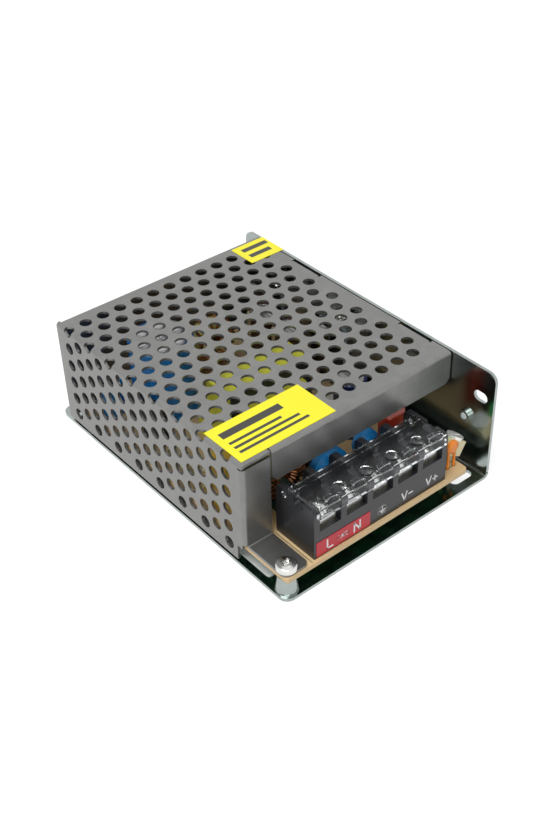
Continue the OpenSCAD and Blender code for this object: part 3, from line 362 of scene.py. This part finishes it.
def sleeved(name, sleeve, stripe, centre, radius, top, stripe_angle=40.0):
    """Shrink sleeve with its light stripe, and the bare aluminium end inside the rim."""
    mat, tree, shader = new_finish(name)
    split = tree.nodes.new("ShaderNodeSeparateXYZ")
    tree.links.new(object_point(tree), split.inputs[0])
    dx = math_node(tree, "SUBTRACT", split.outputs[0], centre[0] * MM)
    dy = math_node(tree, "SUBTRACT", split.outputs[1], centre[1] * MM)
    reach = math_node(tree, "SQRT", math_node(tree, "ADD", math_node(tree, "POWER", dx, 2.0),
                                               math_node(tree, "POWER", dy, 2.0)))
    in_rim = math_node(tree, "LESS_THAN", reach, radius * 0.80 * MM)
    high = math_node(tree, "GREATER_THAN", split.outputs[2], (top - 1.0) * MM)
    bare = math_node(tree, "MULTIPLY", in_rim, high)
    angle = math_node(tree, "ARCTAN2", dy, dx)
    off = math_node(tree, "ABSOLUTE", math_node(tree, "SUBTRACT", angle, math.radians(stripe_angle)))
    band = math_node(tree, "LESS_THAN", off, 0.35)
    cross_a = math_node(tree, "LESS_THAN", math_node(tree, "ABSOLUTE", dx), 0.25 * MM)
    cross_b = math_node(tree, "LESS_THAN", math_node(tree, "ABSOLUTE", dy), 0.25 * MM)
    score = math_node(tree, "MAXIMUM", cross_a, cross_b)
    side = blend_colour(tree, band, sleeve, stripe)
    end = blend_colour(tree, score, (0.62, 0.62, 0.63), (0.25, 0.25, 0.26))
    source = put_group(tree, SURFACE, Scale=900.0, Mottling=0.08, Scuffs=0.05, Gloss_low=0.2, Gloss_high=0.32,
                       Colour=blend_colour(tree, bare, side, end))
    wire_up(tree, shader, source, 0.06)
    tree.links.new(bare, shader.inputs["Metallic"])
    return mat


def clear(name, colour, rough=0.03, ior=1.49, transmission=1.0):
    mat, tree, shader = new_finish(name)
    source = put_group(tree, SURFACE, Scale=300.0, Mottling=0.02, Scuffs=0.12, Colour=colour,
                       Gloss_low=rough, Gloss_high=rough + 0.04)
    tree.links.new(source.outputs["Colour"], shader.inputs["Base Color"])
    tree.links.new(source.outputs["Roughness"], shader.inputs["Roughness"])
    shader.inputs["Transmission Weight"].default_value = transmission
    shader.inputs["IOR"].default_value = ior
    return mat


# ------------------------------------------------------------------ mesh making


def give_mesh(name, verts, faces, body, mat, slot, smooth=True, scale=MM):
    mesh = bpy.data.meshes.new(name)
    mesh.from_pydata([tuple(scale * c for c in v) for v in verts], [], faces)
    mesh.validate()
    obj = bpy.data.objects.new(name, mesh)
    bpy.context.scene.collection.objects.link(obj)
    mesh.materials.append(mat)
    for polygon in mesh.polygons:
        polygon.use_smooth = smooth
    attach(obj, body)
    return obj


def sharpen(obj, degrees=35):
    """Smooth shading with hard edges where two faces meet at more than the angle."""
    mesh = obj.data
    made = bmesh.new()
    made.from_mesh(mesh)
    limit = math.radians(degrees)
    for face in made.faces:
        face.smooth = True
    for edge in made.edges:
        edge.smooth = len(edge.link_faces) == 2 and edge.calc_face_angle(0) < limit
    made.to_mesh(mesh)
    made.free()


def joined(parts):
    verts, faces = [], []
    for part_verts, part_faces in parts:
        start = len(verts)
        verts += part_verts
        faces += [tuple(i + start for i in f) for f in part_faces]
    return verts, faces


def moved(part, matrix):
    return [tuple(matrix @ Vector(v)) for v in part[0]], part[1]


def tube(points, radius, sides=8):
    """Round wire along points, closed at both ends."""
    points = [Vector(p) for p in points]
    count = len(points)
    tangents = [(points[min(i + 1, count - 1)] - points[max(i - 1, 0)]).normalized() for i in range(count)]
    side = tangents[0].orthogonal().normalized()
    verts, faces = [], []
    for point, tangent in zip(points, tangents):
        side = (side - tangent * side.dot(tangent)).normalized()
        up = tangent.cross(side)
        verts += [tuple(point + radius * (math.cos(TAU * k / sides) * side + math.sin(TAU * k / sides) * up))
                  for k in range(sides)]
    for i in range(count - 1):
        for k in range(sides):
            n = (k + 1) % sides
            faces.append((i * sides + k, i * sides + n, (i + 1) * sides + n, (i + 1) * sides + k))
    faces.append(tuple(range(sides - 1, -1, -1)))
    faces.append(tuple((count - 1) * sides + k for k in range(sides)))
    return verts, faces


# ------------------------------------------------------------------ screws

THREAD_OUT, THREAD_IN, THREAD_PITCH = 1.45, 1.20, 0.5


def recess_depth(x, y, reach, slotted):
    """Depth of a cross recess, and of a slot across the whole head where there is one."""
    arm = 0.0
    for along, across in ((abs(x), abs(y)), (abs(y), abs(x))):
        if along < reach and across < 0.34:
            arm = max(arm, 1.15 - 0.35 * along / reach)
    corner = (abs(x) + abs(y)) < 1.05
    arm = max(arm, 1.1 if corner else 0.0)
    if slotted and abs(y) < 0.38:
        arm = max(arm, 0.75)
    return arm


def screw_part(head, length, reach=1.5, slotted=False, turn=0.0):
    """Head from (radius, height) pairs, its driver recess, and a turned thread below it."""
    sides = 64
    rings = 44
    top = max(z for _, z in head)
    outer = max(r for r, _ in head)

    def crown(r):
        edge = [(rr, zz) for rr, zz in head if rr <= outer and zz > 0]
        edge.sort()
        for (r0, z0), (r1, z1) in zip(edge, edge[1:]):
            if r0 <= r <= r1:
                return z0 + (z1 - z0) * (r - r0) / max(r1 - r0, 1e-9)
        return edge[-1][1]

    verts, faces = [(0, 0, top - recess_depth(0, 0, reach, slotted))], []
    radii = [outer * (i + 1) / rings for i in range(rings)]
    for r in radii:
        for k in range(sides):
            a = TAU * k / sides
            x, y = r * math.cos(a), r * math.sin(a)
            u, v = x * math.cos(turn) + y * math.sin(turn), -x * math.sin(turn) + y * math.cos(turn)
            deep = recess_depth(u, v, reach, slotted) if r < outer * 0.985 else 0.0
            verts.append((x, y, max(crown(r) - deep, 0.12)))
    under = [(outer, 0.0), (THREAD_OUT, 0.0)]
    for r, z in under:
        verts += [(r * math.cos(TAU * k / sides), r * math.sin(TAU * k / sides), z) for k in range(sides)]
    rows = len(radii) + len(under)
    faces += [(0, 1 + k, 1 + (k + 1) % sides) for k in range(sides)]
    for i in range(rows - 1):
        a, b = 1 + i * sides, 1 + (i + 1) * sides
        faces += [(a + k, b + k, b + (k + 1) % sides, a + (k + 1) % sides) for k in range(sides)]
    steps = int(length / THREAD_PITCH * 8)
    first = 1 + (rows - 1) * sides
    for i in range(1, steps + 1):
        z = -length * i / steps
        fade = min(1.0, i / 4) * min(1.0, (steps - i) / 6)
        for k in range(sides):
            phase = (z / THREAD_PITCH - k / sides) % 1.0
            tooth = abs(2 * phase - 1)
            r = THREAD_IN + (THREAD_OUT - THREAD_IN) * (tooth * fade if i > 2 else 1.0)
            verts.append((r * math.cos(TAU * k / sides), r * math.sin(TAU * k / sides), z))
    for i in range(steps):
        a, b = first + i * sides, first + (i + 1) * sides
        faces += [(a + k, b + k, b + (k + 1) % sides, a + (k + 1) % sides) for k in range(sides)]
    last = first + steps * sides
    faces.append(tuple(last + k for k in range(sides - 1, -1, -1)))
    return verts, faces


def pan_profile(radius, height):
    edge = 0.55
    points = [(radius, 0.35), (radius, height - edge - 0.35)]
    for k in range(7):
        a = math.radians(15 * k)
        points.append((radius - edge + edge * math.cos(a), height - edge - 0.35 + edge * math.sin(a)))
    points += [(radius * 0.5, height - 0.12), (0.0, height)]
    return points


# ------------------------------------------------------------------ finishes

STEEL_GREY = plated("cover steel", (0.235, 0.235, 0.228), gloss=0.34, contrast=0.30, streaks=(0.25, 1.6, 1.6),
                    bump=0.06, metal=0.85)
ZINC = plated("bracket zinc", (0.36, 0.40, 0.385), gloss=0.17, contrast=0.35,
              streaks=(1.2, 0.2, 1.2), bump=0.05)
BRIGHT = plated("bright screw", (0.72, 0.72, 0.70), gloss=0.2, contrast=0.35, streaks=(1, 1, 1), bump=0.1)
CLAMP_METAL = plated("clamp plate", (0.66, 0.66, 0.64), gloss=0.24, contrast=0.4,
                     streaks=(1, 1, 1), bump=0.12)
CONTACT = plated("tinned contact", (0.60, 0.56, 0.44), gloss=0.28, contrast=0.25)
ALUMINIUM = plated("heat bar aluminium", (0.62, 0.62, 0.63), gloss=0.32, contrast=0.25, streaks=(1, 0.15, 1))
SPRING = plated("spring clip", (0.5, 0.5, 0.5), gloss=0.24, contrast=0.2)
BLOCK_BLACK = moulded("terminal block", (0.012, 0.013, 0.016), gloss=(0.26, 0.36), scale=2200,
                      bump=0.12, scuffs=0.12)
DEVICE_BLACK = moulded("device body", (0.018, 0.018, 0.019), gloss=(0.4, 0.55), scale=2600, bump=0.3)
CREAM = moulded("trimmer base", (0.80, 0.72, 0.47), gloss=(0.45, 0.6), scale=1200, bump=0.2)
FILM = moulded("insulating film", (0.62, 0.64, 0.62), gloss=(0.3, 0.4), scale=500, bump=0.05)
PAD = moulded("thermal pad", (0.34, 0.42, 0.47), gloss=(0.55, 0.7), scale=1800, bump=0.2)
FERRITE = moulded("ferrite", (0.035, 0.036, 0.038), gloss=(0.4, 0.55), scale=1700, bump=0.35, mottling=0.3)
TAPE = moulded("winding tape", (0.80, 0.80, 0.08), gloss=(0.25, 0.35), scale=380, bump=0.1, mottling=0.12)
BOX_YELLOW = moulded("filter capacitor", (0.80, 0.50, 0.03), gloss=(0.3, 0.42), scale=1500,
                     bump=0.15, coat=0.2)
DIP_BLUE = moulded("blue dip", (0.018, 0.31, 0.78), gloss=(0.22, 0.34), scale=500, bump=0.25, coat=0.4)
DIP_RED = moulded("red dip", (0.50, 0.045, 0.02), gloss=(0.18, 0.28), scale=420, bump=0.2, coat=0.5)
DIP_ORANGE = moulded("orange dip", (0.83, 0.24, 0.015), gloss=(0.3, 0.42), scale=600, bump=0.3, coat=0.2)
DIP_GREEN = moulded("thermistor dip", (0.03, 0.06, 0.035), gloss=(0.4, 0.5), scale=600, bump=0.3)
CORE_GREEN = moulded("choke core", (0.02, 0.06, 0.045), gloss=(0.4, 0.5), scale=900, bump=0.2)
CORE_YELLOW = moulded("inductor core", (0.60, 0.52, 0.16), gloss=(0.4, 0.5), scale=900, bump=0.2)
CHIP_WHITE = moulded("optocoupler body", (0.75, 0.75, 0.72), gloss=(0.4, 0.5), scale=1500, bump=0.15)
RESISTOR = moulded("resistor body", (0.14, 0.33, 0.42), gloss=(0.25, 0.35), scale=900, bump=0.1, coat=0.2)
INK_WHITE = moulded("printed mark", (0.82, 0.82, 0.82), gloss=(0.5, 0.6), scale=2500, bump=0.1)
# Dark green-black for the painted shade lines on the board's top.
SHADE_LINE_GREEN = moulded("board painted shade", (0.03, 0.07, 0.05), gloss=(0.5, 0.6), scale=2500, bump=0.1)
CLEAR = clear("clear cover", (0.93, 0.95, 0.96), rough=0.02, ior=1.2)
NICKEL = plated("trimmer rotor", (0.86, 0.86, 0.84), gloss=0.34, contrast=0.15, metal=0.55)
GLASS = clear("fuse glass", (0.92, 0.95, 0.93), rough=0.02, ior=1.5)
LAMP = clear("lamp resin", (0.05, 0.75, 0.22), rough=0.12, ior=1.5, transmission=0.35)
RED_FIELD = moulded("mains label", (0.50, 0.008, 0.022), gloss=(0.3, 0.4), scale=900, bump=0.05)
BLUE_SLEEVE = sleeved("bulk capacitor sleeve", (0.025, 0.25, 0.68), (0.60, 0.66, 0.72),
                      (-17.1, 27.5), 10, 33.1)
SMALL_SLEEVE = sleeved("small capacitor sleeve", (0.01, 0.20, 0.50), (0.60, 0.64, 0.68),
                       (-31.2, 36.5), 4, 19.6, -20)
OUTPUT_SLEEVES = [
    sleeved(f"output capacitor sleeve {k + 1}", colour, stripe, centre, 5, 27.6, angle)
    for k, (colour, stripe, centre, angle) in enumerate((
        ((0.015, 0.03, 0.13), (0.45, 0.47, 0.52), (17, -19), -100),
        ((0.075, 0.035, 0.02), (0.55, 0.45, 0.25), (20, 13), 160),
        ((0.075, 0.035, 0.02), (0.55, 0.45, 0.25), (20, 25), 160),
    ))
]
YELLOW_PAPER, BLACK_INK = (0.86, 0.78, 0.015), (0.035, 0.035, 0.03)
TOP_STICKER = sticker("top label", YELLOW_PAPER, BLACK_INK, [
    (-35.6, -27.2, -15.0, -24.6), (-35.6, -30.2, -18.0, -29.2), (-35.6, -32.4, -13.5, -31.4),
    (-35.6, -34.6, -12.0, -33.6)])
SEAL_STICKER = sticker("seal", YELLOW_PAPER, BLACK_INK, [(28.2, 43.9, 38.2, 45.9), (28.2, 39.9, 36.6, 41.9)])


def enamel_wire():
    mat, tree, shader = new_finish("enamelled wire")
    source = put_group(tree, SURFACE, Scale=1500.0, Mottling=0.25, Scuffs=0.05, Colour=(0.42, 0.14, 0.04),
                       Gloss_low=0.2, Gloss_high=0.3)
    wire_up(tree, shader, source, 0.1)
    shader.inputs["Metallic"].default_value = 0.7
    shader.inputs["Coat Weight"].default_value = 0.6
    return mat


def board_finish():
    """Tan resin above with faint fibre weave, green solder resist below with copper areas showing through."""
    mat, tree, shader = new_finish("circuit board")
    point = object_point(tree)
    split = tree.nodes.new("ShaderNodeSeparateXYZ")
    tree.links.new(point, split.inputs[0])
    below = math_node(tree, "LESS_THAN", split.outputs[2], (BOARD_UNDER + 0.05) * MM)
    copper = tree.nodes.new("ShaderNodeTexVoronoi")
    copper.feature, copper.distance = "DISTANCE_TO_EDGE", "MANHATTAN"
    copper.inputs["Scale"].default_value = 130.0
    tree.links.new(point, copper.inputs["Vector"])
    gap = math_node(tree, "LESS_THAN", copper.outputs["Distance"], 0.06)
    resist = blend_colour(tree, gap, (0.015, 0.12, 0.05), (0.006, 0.05, 0.02))
    weave = noise_node(tree, stretch(tree, point, (1.0, 6.0, 1.0)), 500.0, 2.0)
    tan = blend_colour(tree, weave, (0.60, 0.42, 0.215), (0.72, 0.53, 0.30))
    source = put_group(tree, SURFACE, Scale=1300.0, Mottling=0.08, Scuffs=0.05, Gloss_low=0.4, Gloss_high=0.5,
                       Colour=blend_colour(tree, below, tan, resist))
    wire_up(tree, shader, source, 0.08)
    return mat


COPPER_WIRE = enamel_wire()
BOARD = board_finish()

KEPT = {
    "base_bracket": ZINC, "cover": STEEL_GREY, "insulating_sheet": FILM, "circuit_board": BOARD,
    "heat_bar": ALUMINIUM, "switching_transistor": DEVICE_BLACK, "output_rectifier": DEVICE_BLACK,
    "transistor_pad": PAD, "rectifier_pad": PAD, "transistor_clip": SPRING, "rectifier_clip": SPRING,
    "terminal_block": BLOCK_BLACK, "terminal_cover": CLEAR, "mains_label": RED_FIELD,
    "top_label": TOP_STICKER, "seal_label": SEAL_STICKER, "bulk_capacitor": BLUE_SLEEVE,
    "small_capacitor": SMALL_SLEEVE, "output_capacitor_1": OUTPUT_SLEEVES[0],
    "output_capacitor_2": OUTPUT_SLEEVES[1], "output_capacitor_3": OUTPUT_SLEEVES[2],
    "transformer_core": FERRITE, "transformer_winding": TAPE, "filter_capacitor": BOX_YELLOW,
    "choke_core": CORE_GREEN, "varistor": DIP_BLUE, "suppressor_capacitor": DIP_BLUE,
    "film_capacitor": DIP_RED, "disc_capacitor": DIP_ORANGE, "indicator_lamp": LAMP,
    "trimmer_body": CREAM, "trimmer_rotor": NICKEL, "inductor_core": CORE_YELLOW,
    "choke_winding": COPPER_WIRE, "inductor_winding": COPPER_WIRE,
    "bridge_rectifier": DEVICE_BLACK, "fuse": GLASS, "thermistor": DIP_GREEN,
    "control_chip": DEVICE_BLACK, "optocoupler": CHIP_WHITE, "load_resistor": RESISTOR,
}
for way in WAYS:
    KEPT[f"contact_{way}"] = CONTACT
    KEPT[f"clamp_plate_{way}"] = CLAMP_METAL


def dress_kept_nodes():
    for name, mat in KEPT.items():
        obj = nodes[name]
        obj.data.materials.clear()
        obj.data.materials.append(mat)


# ------------------------------------------------------------------ dressed pieces


def drive_screws():
    for n in WAYS:
        part = screw_part(pan_profile(2.8, 1.9), 7.0, slotted=True, turn=0.4 + 0.9 * n)
        part = moved(part, Matrix.Translation((way_x(n), SCREW_Y, CLAMP_TOP)))
        screw = give_mesh(f"terminal_screw_piece_{n}", *part, f"screw_{n}", BRIGHT, "screw_steel")
        sharpen(screw)
        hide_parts(f"terminal_screw_{n}")
    board = []
    for x, y, z, length, turn in ((-35.2, -51.4, 8.4, 6, 0.6), (-34.5, 43.4, 7.6, 5.2, 0.2),
                                  (27.5, 43.4, 7.6, 5.2, 1.0)):
        part = screw_part(pan_profile(3.0, 2.0), length, turn=turn)
        board.append(moved(part, Matrix.Translation((x, y, z))))
    piece = give_mesh("board_screw_set", *joined(board), "case", BRIGHT, "screw_steel")
    sharpen(piece)
    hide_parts("board_screws")
    clips = [moved(screw_part(pan_profile(2.7, 1.9), 5.5, turn=0.3 * k), Matrix.Translation((34.9, y, 28.8)))
             for k, y in enumerate((35.0, 5.0))]
    piece = give_mesh("clip_screw_set", *joined(clips), "case", BRIGHT, "screw_steel")
    sharpen(piece)
    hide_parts("clip_screws")


def stroke(points, width, thick):
    """Flat stroke of even width along points in the X Z plane, raised by thick towards -Y."""
    verts, faces = [], []
    for (x0, z0), (x1, z1) in zip(points, points[1:]):
        length = math.hypot(x1 - x0, z1 - z0)
        ux, uz = (x1 - x0) / length * width / 2, (z1 - z0) / length * width / 2
        corners = [(x0 - ux + uz, z0 - uz - ux), (x1 + ux + uz, z1 + uz - ux),
                   (x1 + ux - uz, z1 + uz + ux), (x0 - ux - uz, z0 - uz + ux)]
        start = len(verts)
        verts += [(x, 0, z) for x, z in corners] + [(x, -thick, z) for x, z in corners]
        faces += [tuple(start + i for i in f) for f in
                  ((3, 2, 1, 0), (4, 5, 6, 7), (0, 1, 5, 4), (1, 2, 6, 5), (2, 3, 7, 6), (3, 0, 4, 7))]
    return verts, faces


def arc(x, z, radius, start, end, steps=10):
    angles = [math.radians(start + (end - start) * k / steps) for k in range(steps + 1)]
    return [(x + radius * math.cos(a), z + radius * math.sin(a)) for a in angles]


LETTERS = {
    "L": ([(0, 1), (0, 0), (0.6, 0)],),
    "N": ([(0, 0), (0, 1), (0.7, 0), (0.7, 1)],),
    "V": ([(0, 1), (0.35, 0), (0.7, 1)],),
    "A": ([(0, 0), (0.38, 1), (0.76, 0)], [(0.16, 0.36), (0.60, 0.36)]),
    "C": (arc(0.42, 0.5, 0.46, 45, 315),),
    "(": (arc(0.55, 0.5, 0.62, 130, 230),),
    ")": (arc(-0.25, 0.5, 0.62, -50, 50),),
    "+": ([(0, 0.5), (0.6, 0.5)], [(0.3, 0.2), (0.3, 0.8)]),
    "-": ([(0, 0.5), (0.5, 0.5)],),
}


def mark(text, x, z, height, width, advance=0.95):
    parts = []
    for letter in text:
        for line in LETTERS[letter]:
            parts.append(stroke([(x + height * px, z + height * pz) for px, pz in line], width, 0.03))
        x += height * advance
    return joined(parts)


def mark_terminals():
    front = BLOCK_FRONT
    red = [mark("L", way_x(1) - 1.2, 9.2, 3.0, 0.5), mark("N", way_x(2) - 1.0, 9.2, 3.0, 0.5),
           mark("(AC)", way_x(1) + 2.6, 9.9, 1.35, 0.24, 0.78)]
    bare = [mark("V-", way_x(4) - 2.0, 9.4, 2.7, 0.42, 1.0), mark("V+", way_x(5) - 2.0, 9.4, 2.7, 0.42, 1.0)]
    x, z = way_x(3), 10.7
    bare += [stroke(arc(x, z, 1.55, 0, 360, 28), 0.28, 0.03), stroke([(x, z + 1.2), (x, z)], 0.28, 0.03)]
    for w, drop in ((0.95, 0.0), (0.6, 0.42), (0.28, 0.82)):
        bare.append(stroke([(x - w, z - drop), (x + w, z - drop)], 0.26, 0.03))
    for name, parts, depth in (("mains_marks", red, 0.12), ("output_marks", bare, 0.0)):
        part = moved(joined(parts), Matrix.Translation((0, front - depth, 0)))
        give_mesh(name, *part, "case", INK_WHITE, "label_red", smooth=False)


def flat_line(points, width):
    """Dark line lying flat on the board's top, used here as painted shade."""
    verts, faces = stroke(points, width, 0.04)
    return [(x, z, BOARD_TOP - y) for x, y, z in verts], [tuple(reversed(f)) for f in faces]


def ridge_the_clamps():
    """Ribs across the front of each clamp plate."""
    half, y, radius = 2.7, -52.0, 0.28
    for n in WAYS:
        x = way_x(n)
        ribs = [tube([(x - half, y, z), (x + half, y, z)], radius, 10) for z in (18.62, 19.16, 19.70)]
        ridge = give_mesh(f"clamp_ribs_{n}", *joined(ribs), f"clamp_{n}", CLAMP_METAL, "screw_steel")
        sharpen(ridge)


def knuckle_the_lid():
    """Clear knuckles along the lid's front edge, one over each way."""
    parts = []
    for n in WAYS:
        x = way_x(n)
        parts.append(tube([(x - 2.1, -54.05, 25.75), (x + 2.1, -54.05, 25.75)], 0.85, 18))
        parts.append(tube([(x - 1.2, -52.3, 25.8), (x + 1.2, -52.3, 25.8)], 0.55, 14))
    sharpen(give_mesh("lid_knuckles", *joined(parts), "lid", CLEAR, "clear_plastic"))


# Painted shade: dark green-black lines along the board's edge under the trimmer and beside the foot of the
# terminal block.
def paint_board_shade_lines():
    lines = [flat_line([(22.9, -50.9), (29.2, -50.9), (29.2, -43.2)], 0.25),
             flat_line([(-28.4, -53.9), (-28.4, -38.6)], 0.2),
             flat_line([(-33.6, -46.6), (-32.2, -46.6)], 0.35)]
    give_mesh("board_shade_lines", *joined(lines), "case", SHADE_LINE_GREEN, "board", smooth=False)


def tape_the_core():
    """Tape round the outside of the transformer core."""
    x0, x1, y0, y1, z0, z1 = -18.0, 12.0, -7.0, 4.0, 10.6, 30.6
    thick, verts, faces = 0.12, [], []
    ring = [(x0, z0), (x1, z0), (x1, z1), (x0, z1)]
    grown = [(x0 - thick, z0 - thick), (x1 + thick, z0 - thick),
             (x1 + thick, z1 + thick), (x0 - thick, z1 + thick)]
    for y in (y0, y1):
        verts += [(x, y, z) for x, z in ring] + [(x, y, z) for x, z in grown]
    for k in range(4):
        n = (k + 1) % 4
        faces += [(4 + k, 4 + n, 12 + n, 12 + k), (k, 8 + k, 8 + n, n),
                  (k, n, 4 + n, 4 + k), (8 + k, 12 + k, 12 + n, 8 + n)]
    give_mesh("core_tape", verts, faces, "case", TAPE, "tape_yellow", smooth=False)


place_camera()
light_the_studio()
lay_floor()
dress_kept_nodes()
drive_screws()
mark_terminals()
paint_board_shade_lines()
tape_the_core()
ridge_the_clamps()
knuckle_the_lid()
